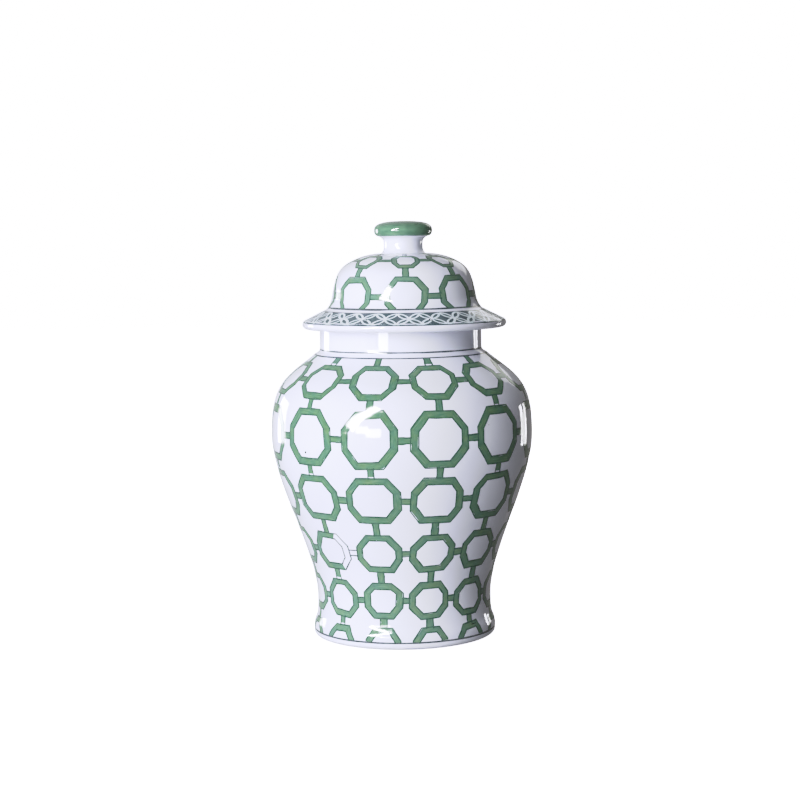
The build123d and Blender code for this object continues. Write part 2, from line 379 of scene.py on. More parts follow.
def build_locating_ring(materials):
    """The bare ring that hangs inside the neck, wiped clean of glaze."""
    bore = RING_RADIUS - RING_WALL
    foot = RING_LOW.z / MM + RING_ROUND
    outline = joined(
        line((RING_RADIUS, SEAT_HEIGHT), (bore, SEAT_HEIGHT), 2),
        line((bore, SEAT_HEIGHT), (bore, foot), 5),
        arc((bore + RING_ROUND, foot), RING_ROUND, 180, 270, 5),
        arc((RING_RADIUS - RING_ROUND, foot), RING_ROUND, 270, 360, 5),
        line((RING_RADIUS, foot), (RING_RADIUS, SEAT_HEIGHT - 0.01), 5),
    )
    rows = plain_rings(outline, LID_CENTRE, SEGMENTS, BARE)
    ring = turned_piece("lid_locating_ring_bare", rows, SEGMENTS, materials)
    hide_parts("lid_locating_ring")
    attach(ring, "lid")


def build_knob(materials):
    """White waisted stem under a green cap, hollow inside."""
    stem = np.array([19.4, 396.0])
    cap_under = np.array([26.0, 404.0])
    cap = np.array([29.2, 410.6])
    stem_part = joined(
        line((KNOB_BORE, CROWN_HEIGHT), CROWN, 2),
        bezier(CROWN, CROWN + (-2.9, 2.0), stem - (0, 4.0), stem, 14),
        bezier(stem, stem + (0, 4.5), cap_under + (-4.5, -1.2), cap_under, 16),
    )
    cap_part = joined(
        bezier(cap_under, cap_under + (3.0, 1.2), cap + (0.1, -3.0), cap, 16),
        bezier(cap, cap + (-0.5, 5.5), (22.0, KNOB_TOP), (0, KNOB_TOP), 30),
    )
    ceiling = KNOB_TOP - KNOB_CAP_WALL
    hollow = joined(
        bezier((0, ceiling), (8, ceiling), (KNOB_BORE, ceiling - 3), (KNOB_BORE, KNOB_BORE_TOP), 10),
        line((KNOB_BORE, KNOB_BORE_TOP), (KNOB_BORE, CROWN_HEIGHT), 4),
    )
    rows = plain_rings(hollow, LID_CENTRE, KNOB_SEGMENTS, GLAZE)
    rows += plain_rings(stem_part[1:-1], LID_CENTRE, KNOB_SEGMENTS, GLAZE)
    rows += plain_rings(cap_part, LID_CENTRE, KNOB_SEGMENTS, GREEN)
    knob = turned_piece("lid_knob_glazed", rows, KNOB_SEGMENTS, materials)
    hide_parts("lid_knob")
    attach(knob, "lid")


# ---- paint, as thin raised enamel


def flattened(skin, path):
    """A path of (azimuth, distance) pairs laid out flat in millimetres, and the millimetres in a degree."""
    degree = np.radians(1) * skin.radius(path[:, 1])
    steps = np.diff(path, axis=0)
    across = steps[:, 0] * (degree[1:] + degree[:-1]) / 2
    flat = np.concatenate([[[0, 0]], np.cumsum(np.stack([across, steps[:, 1]], axis=-1), axis=0)])
    return flat, degree


# A stroke's cross-section: how far across each point lies, and its height as a share of the stroke's lift.
# Both edges dip under the glaze.
WASH_SECTION = [(0.0, None), (0.04, 0.8), (0.2, 0.95), (0.5, 1.0), (0.8, 0.95), (0.96, 0.8), (1.0, None)]
LINE_SECTION = [(0.0, None), (0.1, 0.85), (0.5, 1.0), (0.9, 0.85), (1.0, None)]
EDGE_SINK = 0.05

# How far each kind of paint stands off the glaze, in millimetres: lines on top of what they bound
WASH_LIFT, BARE_LINE_LIFT, OUTLINE_LIFT, FAINT_LIFT = 0.1, 0.13, 0.16, 0.1
GROUND_LIFT, PETAL_LIFT, BAND_LINE_LIFT = 0.07, 0.13, 0.17


class Paint:
    """Collects strokes laid on one skin into a single piece. They shade like the skin itself, as paint that
    the clear glaze has flowed over."""

    def __init__(self, name, skin, material, lift, slot="green_glaze"):
        self.name, self.skin, self.material = name, skin, material
        self.body, self.slot, self.lift = skin.body, slot, lift
        self.points, self.faces, self.normals = [], [], []
        self.values = {"across": [], "along": [], "tone": [], "corner": []}

    def stroke(self, left, right, tone, corner=None, closed=False, section=WASH_SECTION):
        """A closed ribbon between two edges, each a list of (azimuth, distance) pairs."""
        left, right = np.asarray(left, float), np.asarray(right, float)
        count, columns = len(left), len(section)
        share = np.array([across for across, _ in section])
        lift = np.array([-EDGE_SINK if height is None else height * self.lift for _, height in section])
        flat, degree = flattened(self.skin, (left + right) / 2)
        run = np.concatenate([[0], np.cumsum(np.hypot(*np.diff(flat, axis=0).T))])
        first = len(self.points)
        grid = left[:, None] * (1 - share)[None, :, None] + right[:, None] * share[None, :, None]
        azimuth, distance = grid[..., 0], grid[..., 1]
        across = (right - left) * (degree[:, None] ** [1, 0])
        if np.median(np.cross(across[:-1], np.diff(flat, axis=0))) < 0:
            self.stroke(right, left, tone, corner, closed, section)
            return
        self.points.extend(self.skin.place(azimuth, distance, lift).reshape(-1, 3).tolist())
        self.normals.extend(self.skin.normal(azimuth, distance).reshape(-1, 3).tolist())
        tones = np.broadcast_to(np.asarray(tone, float), (count,))
        corners = np.full(count, 9.0) if corner is None else np.asarray(corner, float)
        self.values["across"].extend(np.tile(2 * share - 1, count))
        self.values["along"].extend(np.repeat(run, columns))
        self.values["tone"].extend(np.repeat(tones, columns))
        self.values["corner"].extend(np.repeat(corners, columns))
        for i in range(count if closed else count - 1):
            a = first + i * columns
            b = first + ((i + 1) % count) * columns
            for k in range(columns - 1):
                self.faces.append((a + k, a + k + 1, b + k + 1, b + k))
            self.faces.append((a + columns - 1, a, b, b + columns - 1))
        if not closed:
            last = first + (count - 1) * columns
            self.faces.append(tuple(first + k for k in reversed(range(columns))))
            self.faces.append(tuple(last + k for k in range(columns)))

    def line(self, path, width, tone=0.5, closed=False):
        """A thin drawn line along (azimuth, distance) pairs. width is one number or one for each point."""
        path = np.asarray(path, float)
        if closed:
            lap = (360, 0) if abs(path[-1, 0] - path[0, 0]) > 180 else (0, 0)
            wrapped = np.concatenate([path[-1:] - lap, path, path[:1] + lap])
            flat, degree = flattened(self.skin, wrapped)
            step, degree = flat[2:] - flat[:-2], degree[1:-1]
        else:
            flat, degree = flattened(self.skin, path)
            step = np.gradient(flat, axis=0)
        step /= np.maximum(np.linalg.norm(step, axis=1), 1e-9)[:, None]
        side = np.stack([-step[:, 1] / degree, step[:, 0]], axis=-1)
        half = np.broadcast_to(np.asarray(width, float) / 2, (len(path),))[:, None]
        self.stroke(path - side * half, path + side * half, tone, closed=closed, section=LINE_SECTION)

    def finish(self):
        piece = new_mesh(
            self.name, self.points, self.faces, [self.material], values=self.values, normals=self.normals
        )
        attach(piece, self.body)


def smooth_noise(count, size, spacing, closed):
    """A slowly varying random line of this many points, within about size either way."""
    knots = max(4, int(count / spacing))
    raw = np.array([HAND.uniform(-size, size) for _ in range(knots)])
    if closed:
        raw = np.append(raw, raw[0])
    at = np.linspace(0, len(raw) - 1, count, endpoint=not closed)
    low = np.floor(at).astype(int).clip(0, len(raw) - 2)
    t = at - low
    t = t * t * (3 - 2 * t)
    return raw[low] * (1 - t) + raw[low + 1] * t


SIDE_STEPS = 9
CORNER_JITTER = 0.75
LINE_WIDTH = 1.4
BARE_LINE_WIDTH = 1.45
OVERLAP = 0.6  # how far a bar reaches into its octagon


def octagon(half_width, half_height, top_share, side_share):
    """A hand-drawn octagon's corners, in millimetres about its centre, clockwise from the top left."""
    top, side = half_width * top_share, half_height * side_share
    corners = [(-top, half_height), (top, half_height), (half_width, side), (half_width, -side)]
    corners += [(-x, -y) for x, y in corners]
    jitter = CORNER_JITTER
    return np.array([[value + HAND.uniform(-jitter, jitter) for value in corner] for corner in corners])


def inset(corners, thickness):
    """The corners moved inwards, by one thickness for each side."""
    count = len(corners)
    lines = []
    for i in range(count):
        a, b = corners[i], corners[(i + 1) % count]
        step = (b - a) / np.linalg.norm(b - a)
        inward = np.array([step[1], -step[0]])
        lines.append((a + inward * thickness[i], step))
    moved = []
    for i in range(count):
        (p, u), (q, v) = lines[i - 1], lines[i]
        t = np.linalg.solve(np.array([u, -v]).T, q - p)[0]
        moved.append(p + u * t)
    return np.array(moved)


def walked(corners):
    """Points round a closed shape, SIDE_STEPS to a side."""
    points = []
    for i in range(len(corners)):
        a, b = corners[i], corners[(i + 1) % len(corners)]
        for k in range(SIDE_STEPS):
            points.append(a + (b - a) * k / SIDE_STEPS)
    return np.array(points)


class Lattice:
    """Octagons in columns and rows on one skin, joined by short bars: a green wash inside thin drawn lines.
    What is left unfilled has lines of its own colour."""

    def __init__(self, skin, columns, first_azimuth, wash, line, bare_line):
        self.skin, self.columns, self.first = skin, columns, first_azimuth
        self.fill = Paint(f"{skin.body}_lattice_fill", skin, wash, WASH_LIFT)
        self.outline = Paint(f"{skin.body}_lattice_outline", skin, line, OUTLINE_LIFT)
        self.bare_line = Paint(f"{skin.body}_drawn_lines", skin, bare_line, BARE_LINE_LIFT)

    def finish(self):
        for paint in (self.fill, self.outline, self.bare_line):
            paint.finish()

    def azimuth(self, column):
        return self.first + 360.0 / self.columns * column

    def on_skin(self, azimuth, distance, flat):
        """(azimuth, distance) pairs of points given in millimetres about a centre."""
        heights = distance + flat[:, 1]
        degree = np.radians(1) * self.skin.radius(heights)
        return np.stack([azimuth + flat[:, 0] / degree, heights], axis=-1)

    def wash(self, first, second, tone, corner=None, closed=False):
        """The green between two drawn lines. Here and there the brush doesn't quite reach them."""
        count = len(first)
        gaps = [np.clip(smooth_noise(count, 0.16, 4, closed) - 0.03, 0, 0.12)[:, None] for _ in range(2)]
        left = first + (second - first) * gaps[0]
        right = second + (first - second) * gaps[1]
        self.fill.stroke(left, right, tone, corner, closed=closed)

    def drawn(self, path, closed, painted=True):
        """One thin line, pressed now harder and now lighter."""
        count = len(path)
        paint = self.outline if painted else self.bare_line
        width = (LINE_WIDTH if painted else BARE_LINE_WIDTH) + smooth_noise(count, 0.3, 3, closed)
        paint.line(path, np.maximum(width, 0.4), HAND.uniform(0.1, 0.9), closed=closed)

    def draw_octagon(self, azimuth, distance, size, low=None, unfilled=()):
        """An octagon about a point, cut off below low if that is given. unfilled lists the sides without
        green, counted clockwise from the top as 0."""
        half_width, half_height, stroke, top_share, side_share = size
        outer = octagon(half_width, half_height, top_share, side_share)
        sides = len(outer)
        overshoot = HAND.randrange(sides)
        outer[overshoot] *= 1 + HAND.uniform(0, 1.3) / np.linalg.norm(outer[overshoot])
        thickness = [stroke * HAND.uniform(0.86, 1.16) for _ in range(sides)]
        inner = inset(outer, thickness)
        outer_path, inner_path = walked(outer), walked(inner)
        count = len(outer_path)
        for path in (outer_path, inner_path):
            path *= (1 + smooth_noise(count, 0.009, 5, True))[:, None]
        step = np.tile(np.arange(SIDE_STEPS), sides) / SIDE_STEPS
        side_length = np.repeat(np.linalg.norm(np.roll(outer, -1, axis=0) - outer, axis=1), SIDE_STEPS)
        corner = np.minimum(step, 1 - step) * side_length
        tones = np.repeat([HAND.uniform(0, 1) for _ in range(sides)], SIDE_STEPS)
        keep = np.ones(count, bool)
        if low is not None:
            keep = np.maximum(outer_path[:, 1], inner_path[:, 1]) > low
            outer_path[:, 1] = np.maximum(outer_path[:, 1], low)
            inner_path[:, 1] = np.maximum(inner_path[:, 1], low)
        painted = ~np.isin(np.repeat(np.arange(sides), SIDE_STEPS), unfilled)
        outer_path = self.on_skin(azimuth, distance, outer_path)
        inner_path = self.on_skin(azimuth, distance, inner_path)
        order, whole = self.run_order(keep & painted)
        self.wash(outer_path[order], inner_path[order], tones[order], corner[order], closed=whole)
        for path in (outer_path, inner_path):
            self.drawn(path[order], whole)
            if unfilled:
                rest, _ = self.run_order(keep & ~painted, reach=1)
                self.drawn(path[rest], False, painted=False)

    @staticmethod
    def run_order(kept, reach=0):
        """Indices of the kept points as one run, starting after the gap, and whether there is no gap.
        Reach carries the run this many points past both of its ends."""
        count = len(kept)
        if kept.all():
            return np.arange(count), True
        start = np.flatnonzero(kept & ~np.roll(kept, 1))[0]
        length = int(kept.sum())
        return (start - reach + np.arange(length + 2 * reach)) % count, False

    def draw_bar(self, start, end, width, filled=True, wash_share=1.0):
        """A short bar between two (azimuth, distance) points. The wash covers a share of its length."""
        start, end = np.array(start, float), np.array(end, float)
        count = 9
        t = np.linspace(0, 1, count)[:, None]
        path = start * (1 - t) + end * t
        flat, degree = flattened(self.skin, path)
        step = flat[-1] - flat[0]
        step /= np.linalg.norm(step)
        side = np.stack([-step[1] / degree, np.full(count, step[0])], axis=-1)
        half = width / 2 * (1 + smooth_noise(count, 0.1, 2, False))[:, None]
        shift = side * HAND.uniform(-0.5, 0.5)
        left, right = path + shift - side * half, path + shift + side * half
        if filled:
            washed = max(3, round(count * wash_share))
            self.wash(left[:washed], right[:washed], HAND.uniform(0, 1))
        for edge in (left, right):
            self.drawn(edge, False, painted=filled)


# The lattice's rows, from the shoulder down: centre's distance up the wall, then the octagon's outer half
# width and half height, its stroke, and the shares of them that its flat top and its upright side take
JAR_ROWS = [
    (283.8, (23.1, 21.3, 6.0, 0.50, 0.38)),
    (224.2, (28.3, 27.4, 7.0, 0.51, 0.37)),
    (162.5, (26.6, 23.7, 6.6, 0.58, 0.40)),
    (105.5, (22.3, 20.0, 6.2, 0.56, 0.36)),
    (55.0, (19.7, 18.6, 6.0, 0.50, 0.40)),
    (9.0, (17.5, 18.3, 5.6, 0.52, 0.36)),
]
JAR_COLUMNS = 12
JAR_FIRST_AZIMUTH = 16.1
FOOT_LINE = 13.3
NECK_LINES = (316.2, 323.7)
BAR_WIDTH = 6.2

# These sides of one octagon, and the bar on its right, were drawn but never filled
FORGOTTEN_ROW = 3
FORGOTTEN_COLUMN = JAR_COLUMNS - 2
FORGOTTEN_SIDES = (1, 2, 3)

# A dark speck inside an octagon of the second row: its place from the centre, in degrees and millimetres
SPECK_ROW, SPECK_COLUMN = 1, JAR_COLUMNS - 2
SPECK_SIDE, SPECK_UP = -1.6, -14.5
SPECK_SIZE = 2.2

# The lid's two rows, between the line at the dome's foot and the knob
LID_COLUMNS = 8
LID_FIRST_AZIMUTH = 1.6
LID_LINE_HEIGHT = 333.2
LOWER_TOP_HEIGHT, UPPER_BOTTOM_HEIGHT = 364.5, 373.0
LOWER_SIZE = (20.8, 19.6, 5.4, 0.50, 0.34)
UPPER_SIZE = (13.4, 12.6, 4.2, 0.56, 0.34)
LOWER_BAR, MIDDLE_BAR, UPPER_BAR, TOP_BAR = 5.2, 5.8, 4.2, 3.6


def build_jar_paint(wash, line, bare_line, iron_spot):
    """Rows of octagons from the neck's line down to the foot's, which cuts the lowest row off."""
    lattice = Lattice(JAR, JAR_COLUMNS, JAR_FIRST_AZIMUTH, wash, line, bare_line)
    above = NECK_LINES[0]
    for index, (distance, size) in enumerate(JAR_ROWS):
        lowest = index == len(JAR_ROWS) - 1
        top = distance + size[1] - OVERLAP
        half = math.degrees((size[0] - OVERLAP) / JAR.radius(distance))
        for column in range(JAR_COLUMNS):
            azimuth = lattice.azimuth(column) + HAND.uniform(-0.25, 0.25)
            centre = distance + HAND.uniform(-0.4, 0.4)
            forgotten = index == FORGOTTEN_ROW and column == FORGOTTEN_COLUMN
            low = FOOT_LINE - centre if lowest else None
            lattice.draw_octagon(azimuth, centre, size, low, FORGOTTEN_SIDES if forgotten else ())
            width = BAR_WIDTH * HAND.uniform(0.88, 1.1)
            share = HAND.choice((1.0, 1.0, 1.0, 1.0, 0.75))
            lattice.draw_bar((lattice.azimuth(column), above), (azimuth, top), width, wash_share=share)
            if not lowest:
                start = (azimuth + half, centre)
                end = (lattice.azimuth(column + 1) - half, distance)
                lattice.draw_bar(start, end, BAR_WIDTH * HAND.uniform(0.84, 1.02), filled=not forgotten)
        above = distance - size[1] + OVERLAP
    ring_line(lattice.bare_line, FOOT_LINE, 1.9)
    ring_line(lattice.bare_line, NECK_LINES[0], 2.0)
    faint = Paint("jar_neck_line", JAR, bare_line, FAINT_LIFT)
    ring_line(faint, NECK_LINES[1], 1.7)
    iron = Paint("jar_iron_speck", JAR, iron_spot, FAINT_LIFT)
    place = (lattice.azimuth(SPECK_COLUMN) + SPECK_SIDE, JAR_ROWS[SPECK_ROW][0] + SPECK_UP)
    speck(iron, *place, SPECK_SIZE)
    lattice.finish()
    faint.finish()
    iron.finish()


def speck(paint, azimuth, distance, size):
    """A small dark dot in the glaze."""
    spot = np.array([[azimuth, distance + size * (t - 0.5)] for t in np.linspace(0, 1, 5)])
    width = size * np.sin(np.linspace(0.5, math.pi - 0.5, 5))
    paint.line(spot, width, 0.0)


def ring_line(paint, distance, width):
    """A thin line drawn all the way round."""
    azimuths = np.arange(0, 360, 1.5)
    count = len(azimuths)
    heights = distance + smooth_noise(count, 0.12, 14, True)
    widths = width * (1 + smooth_noise(count, 0.2, 7, True))
    paint.line(np.stack([azimuths, heights], axis=-1), widths, 0.5, closed=True)


def build_lid_paint(wash, line, bare_line):
    """Octagons that the dome's foot line cuts off, smaller ones above them, and bars up to the knob."""
    lattice = Lattice(LID, LID_COLUMNS, LID_FIRST_AZIMUTH, wash, line, bare_line)
    base_line = LID.at_height(LID_LINE_HEIGHT)
    lower = LID.at_height(LOWER_TOP_HEIGHT) - LOWER_SIZE[1]
    upper = LID.at_height(UPPER_BOTTOM_HEIGHT) + UPPER_SIZE[1]
    lower_top = lower + LOWER_SIZE[1] - OVERLAP
    upper_bottom, upper_top = upper - UPPER_SIZE[1] + OVERLAP, upper + UPPER_SIZE[1] - OVERLAP
    for column in range(LID_COLUMNS):
        azimuth = lattice.azimuth(column) + HAND.uniform(-0.4, 0.4)
        lattice.draw_octagon(azimuth, lower, LOWER_SIZE, low=base_line - lower)
        lattice.draw_octagon(azimuth, upper, UPPER_SIZE)
        lattice.draw_bar((azimuth, lower_top), (azimuth, upper_bottom), MIDDLE_BAR)
        for distance, size, width in ((lower, LOWER_SIZE, LOWER_BAR), (upper, UPPER_SIZE, UPPER_BAR)):
            half = math.degrees((size[0] - OVERLAP) / LID.radius(distance))
            start = (azimuth + half, distance)
            end = (lattice.azimuth(column + 1) - half, distance)
            lattice.draw_bar(start, end, width)
        lattice.draw_bar((azimuth, upper_top), (azimuth, LID.length - 2.0), TOP_BAR)
    ring_line(lattice.bare_line, base_line, 2.3)
    lattice.finish()


PETAL_REPEATS = 25
PETAL_START = 2.4
PETAL_LINE = 2.5
BAND_LOW, BAND_HIGH = 318.9, 329.9


def build_brim_band(wash, petals, line):
    """A slate-teal band on the brim's slope, with pale interlaced petals drawn on it."""
    low = LID.at_height(BAND_LOW)
    high = LID.at_height(BAND_HIGH)
    azimuths = np.arange(0, 360, 1.0)
    ground = Paint("brim_band_ground", LID, wash, GROUND_LIFT)
    lower, upper = [
        np.stack([azimuths, distance + smooth_noise(len(azimuths), 0.15, 9, True)], axis=-1)
        for distance in (low, high)
    ]
    ground.stroke(lower, upper, 0.5, closed=True)
    motif = Paint("brim_band_motif", LID, petals, PETAL_LIFT, "glazed_porcelain")
    edge = Paint("brim_band_lines", LID, line, BAND_LINE_LIFT)
    middle, half = (low + high) / 2, (high - low) / 2 - 0.8
    pitch = 360.0 / PETAL_REPEATS
    millimetres = np.radians(1) * LID.radius(middle)
    t = np.linspace(0, 1, 11)[:, None]
    for repeat in range(PETAL_REPEATS):
        crossing = PETAL_START + pitch * repeat + HAND.uniform(-0.5, 0.5)
        for across in (-1, 1):
            for up in (-1, 1):
                end = np.array([across * pitch / 2 * millimetres, up * half * HAND.uniform(0.92, 1.0)])
                for bulge in (-1, 1):
                    bend = bulge * HAND.uniform(0.36, 0.5)
                    pull = end / 2 + bend * np.array([-end[1], end[0]]) * 0.8
                    flat = 2 * t * (1 - t) * pull + t * t * end
                    path = np.stack([crossing + flat[:, 0] / millimetres, middle + flat[:, 1]], axis=-1)
                    width = PETAL_LINE * HAND.uniform(0.85, 1.1) + smooth_noise(len(path), 0.3, 3, False)
                    motif.line(path, width, HAND.uniform(0, 1))
        if HAND.random() < 0.4:
            azimuth = crossing + HAND.uniform(-3.5, 3.5)
            distance = middle + HAND.uniform(-4, 4)
            curl(edge, azimuth, distance, HAND.uniform(1.6, 2.4))
    for distance in (low, high):
        ring_line(edge, distance, 1.0)
    for paint in (ground, motif, edge):
        paint.finish()


def curl(paint, azimuth, distance, size):
    """A small hand-drawn loop, as the painter filled a gap between petals."""
    turn = np.linspace(0, HAND.uniform(1.5, 1.95) * math.pi, 12) + HAND.uniform(0, 6)
    reach = size * np.linspace(1, 0.55, 12)
    degree = np.radians(1) * paint.skin.radius(distance)
    path = np.stack([azimuth + reach * np.cos(turn) / degree, distance + reach * np.sin(turn)], axis=-1)
    paint.line(path, 1.2, 0.3)


# ---- materials


def linear(red, green, blue):
    """A colour given as 0 to 255 screen values, as the shader wants it."""
    def one(value):
        share = value / 255
        return share / 12.92 if share <= 0.04045 else ((share + 0.055) / 1.055) ** 2.4
    return (one(red), one(green), one(blue), 1.0)


def shader(name):
    material = bpy.data.materials.new(name)
    material.use_nodes = True
    tree = material.node_tree
    return material, tree, tree.nodes["Principled BSDF"]


def node(tree, kind, **settings):
    made = tree.nodes.new(kind)
    for key, value in settings.items():
        if key in made.inputs:
            made.inputs[key].default_value = value
        else:
            setattr(made, key, value)
    return made


def noise(tree, scale, detail, vector, roughness=0.5):
    made = node(tree, "ShaderNodeTexNoise", Scale=scale, Detail=detail, Roughness=roughness)
    tree.links.new(vector, made.inputs["Vector"])
    return made.outputs["Fac"]


def feed(tree, socket, value):
    """Links a socket to another node's output, or sets it to a constant."""
    if isinstance(value, bpy.types.NodeSocket):
        tree.links.new(value, socket)
    else:
        socket.default_value = value


def ramp(tree, factor, stops):
    made = node(tree, "ShaderNodeValToRGB")
    elements = made.color_ramp.elements
    while len(elements) < len(stops):
        elements.new(0.5)
    for element, (position, colour) in zip(elements, stops):
        element.position = position
        element.color = colour
    tree.links.new(factor, made.inputs["Fac"])
    return made.outputs["Color"]


def mixed(tree, factor, first, second):
    made = node(tree, "ShaderNodeMix", data_type="RGBA")
    for index, value in ((0, factor), (6, first), (7, second)):
        feed(tree, made.inputs[index], value)
    return made.outputs[2]


def maths(tree, operation, *values, clamp=False):
    made = node(tree, "ShaderNodeMath", operation=operation, use_clamp=clamp)
    for socket, value in zip(made.inputs, values):
        feed(tree, socket, value)
    return made.outputs[0]


def screen_ramp(tree, factor, stops):
    """A ramp through (position, 0 to 255 screen colour) stops."""
    return ramp(tree, factor, [(position, linear(*colour)) for position, colour in stops])


def coloured(tree, skin, factor, *stops):
    """Base colour that follows a factor through (position, 0 to 255 screen colour) stops."""
    tree.links.new(screen_ramp(tree, factor, stops), skin.inputs["Base Color"])


def grey(value):
    return (value, value, value, 1.0)


def roughened(tree, skin, factor, *stops):
    """Roughness that follows a factor through (position, roughness) stops."""
    rough = ramp(tree, factor, [(position, grey(value)) for position, value in stops])
    tree.links.new(rough, skin.inputs["Roughness"])


def attribute(tree, key):
    return node(tree, "ShaderNodeAttribute", attribute_name=key).outputs["Fac"]


def bumped(tree, principled, height, distance):
    made = node(tree, "ShaderNodeBump", Distance=distance, Strength=1.0)
    tree.links.new(height, made.inputs["Height"])
    tree.links.new(made.outputs["Normal"], principled.inputs["Normal"])


def object_point(tree):
    return node(tree, "ShaderNodeTexCoord").outputs["Object"]


WHITE, BLACK = grey(1.0), grey(0.0)


def porcelain():
    """White glaze with a faint cool cast, pooled tone and a few iron specks."""
    material, tree, skin = shader("porcelain_glaze")
    where = object_point(tree)
    pool = noise(tree, 14.0, 3.0, where)
    pooled = screen_ramp(tree, pool, [(0.3, (234, 236, 248)), (0.7, (238, 240, 251))])
    speck = node(tree, "ShaderNodeTexVoronoi", Scale=42.0)
    tree.links.new(where, speck.inputs["Vector"])
    dots = ramp(tree, speck.outputs["Distance"], [(0.012, WHITE), (0.02, BLACK)])
    tree.links.new(mixed(tree, dots, pooled, linear(120, 108, 100)), skin.inputs["Base Color"])
    roughened(tree, skin, noise(tree, 60.0, 2.0, where), (0.3, 0.03), (0.8, 0.06))
    skin.inputs["IOR"].default_value = 1.52
    bumped(tree, skin, noise(tree, 90.0, 2.0, where), 0.00008)
    return material


def green_paint():
    """Watery green enamel: brush streaks along each stroke, and darker pools at its corners and edges. By the
    foot and on the lid it is mixed a little towards white."""
    material, tree, skin = shader("green_enamel")
    across, run = attribute(tree, "across"), attribute(tree, "along")
    tone, corner = attribute(tree, "tone"), attribute(tree, "corner")
    streak_point = node(tree, "ShaderNodeCombineXYZ")
    tree.links.new(maths(tree, "MULTIPLY", run, 0.07), streak_point.inputs["X"])
    tree.links.new(maths(tree, "MULTIPLY", across, 1.9), streak_point.inputs["Y"])
    tree.links.new(maths(tree, "MULTIPLY", tone, 37.0), streak_point.inputs["Z"])
    streak = noise(tree, 1.7, 3.0, streak_point.outputs[0], 0.62)
    patch = noise(tree, 75.0, 3.0, object_point(tree), 0.6)
    base = screen_ramp(tree, streak, [(0.27, (58, 99, 76)), (0.5, (87, 126, 96)), (0.74, (127, 156, 129))])
    hue = screen_ramp(tree, patch, [(0.28, (75, 117, 106)), (0.5, (86, 123, 94)), (0.72, (106, 132, 85))])
    body = mixed(tree, 0.5, base, hue)
    depth = maths(tree, "MULTIPLY", maths(tree, "SUBTRACT", 1.8, corner, clamp=True), 0.15)
    edge = maths(tree, "MULTIPLY", maths(tree, "POWER", maths(tree, "ABSOLUTE", across), 5.0), 0.55)
    dark = maths(tree, "ADD", depth, edge, clamp=True)
    final = mixed(tree, dark, body, linear(54, 85, 70))
    # Paler by height: near the foot, fading out by 0.25 m up, and above 0.34 m, the green is mixed a few
    # percent towards white
    height = node(tree, "ShaderNodeSeparateXYZ")
    tree.links.new(object_point(tree), height.inputs[0])
    stops = [(0.02, grey(0.045)), (0.25, BLACK), (0.32, BLACK), (0.34, grey(0.05))]
    paler_by_height = ramp(tree, height.outputs["Z"], stops)
    tree.links.new(mixed(tree, paler_by_height, final, linear(234, 238, 248)), skin.inputs["Base Color"])
    roughened(tree, skin, streak, (0.2, 0.04), (0.8, 0.09))
    bumped(tree, skin, streak, 0.00005)
    return material


def drawn_line(name, dark, middle, light):
    """A thin brush line, unevenly dark along its way."""
    material, tree, skin = shader(name)
    worn = noise(tree, 260.0, 2.0, object_point(tree), 0.6)
    coloured(tree, skin, worn, (0.3, dark), (0.55, middle), (0.8, light))
    roughened(tree, skin, worn, (0.3, 0.08), (0.8, 0.18))
    return material


def band_ground():
    """Slate-teal wash of the brim's band, in uneven patches."""
    material, tree, skin = shader("band_wash")
    wash = noise(tree, 150.0, 3.0, object_point(tree), 0.65)
    coloured(tree, skin, wash, (0.25, (58, 75, 81)), (0.5, (80, 98, 103)), (0.8, (108, 126, 129)))
    roughened(tree, skin, wash, (0.2, 0.08), (0.8, 0.16))
    bumped(tree, skin, wash, 0.00008)
    return material


def band_motif():
    """The pale petals, nearly the white of the glaze, with a little blue-green in it."""
    material, tree, skin = shader("band_petals")
    wash = noise(tree, 160.0, 2.0, object_point(tree), 0.6)
    coloured(tree, skin, wash, (0.3, (210, 225, 230)), (0.7, (234, 242, 247)))
    roughened(tree, skin, wash, (0.2, 0.06), (0.8, 0.12))
    return material


def knob_green():
    """The green glaze on the knob's cap, in soft lighter and darker patches."""
    material, tree, skin = shader("knob_green_glaze")
    stretched = node(tree, "ShaderNodeMapping")
    stretched.inputs["Scale"].default_value = (1.0, 1.0, 3.0)
    tree.links.new(object_point(tree), stretched.inputs["Vector"])
    streak = noise(tree, 70.0, 3.0, stretched.outputs[0], 0.55)
    coloured(tree, skin, streak, (0.25, (78, 114, 93)), (0.5, (94, 129, 105)), (0.8, (111, 143, 116)))
    roughened(tree, skin, streak, (0.2, 0.05), (0.8, 0.12))
    bumped(tree, skin, streak, 0.0001)
    return material


def biscuit():
    """Bare fired clay: matt, warm, with fine grain."""
    material, tree, skin = shader("bare_biscuit_clay")
    where = object_point(tree)
    grain = noise(tree, 900.0, 4.0, where, 0.7)
    stain = noise(tree, 30.0, 3.0, where)
    first = screen_ramp(tree, grain, [(0.3, (196, 188, 174)), (0.7, (222, 216, 204))])
    tinted = screen_ramp(tree, stain, [(0.4, (214, 204, 186)), (0.7, (228, 222, 212))])
    tree.links.new(mixed(tree, 0.5, first, tinted), skin.inputs["Base Color"])
    roughened(tree, skin, grain, (0.2, 0.75), (0.8, 0.95))
    bumped(tree, skin, grain, 0.0002)
    return material


def floor_surface():
    """White paper that shines by itself, so that it prints as white all over."""
    material, tree, skin = shader("floor_paper")
    grain = noise(tree, 300.0, 3.0, object_point(tree))
    colour = ramp(tree, grain, [(0.3, grey(0.9)), (0.7, grey(0.92))])
    tree.links.new(colour, skin.inputs["Base Color"])
    skin.inputs["Roughness"].default_value = 0.9
    skin.inputs["Emission Color"].default_value = WHITE
    skin.inputs["Emission Strength"].default_value = PAPER
    return material


# ---- camera, stage and light

CAMERA_DISTANCE = 1.9069
CAMERA_HEIGHT = 0.4147
CAMERA_SIDE = -0.0016
CAMERA_TILT = 5.289
CAMERA_ROLL = 0.85
LENS, SENSOR_WIDTH = 85.0, 36.0
FLOOR_HALF_WIDTH = 6.0


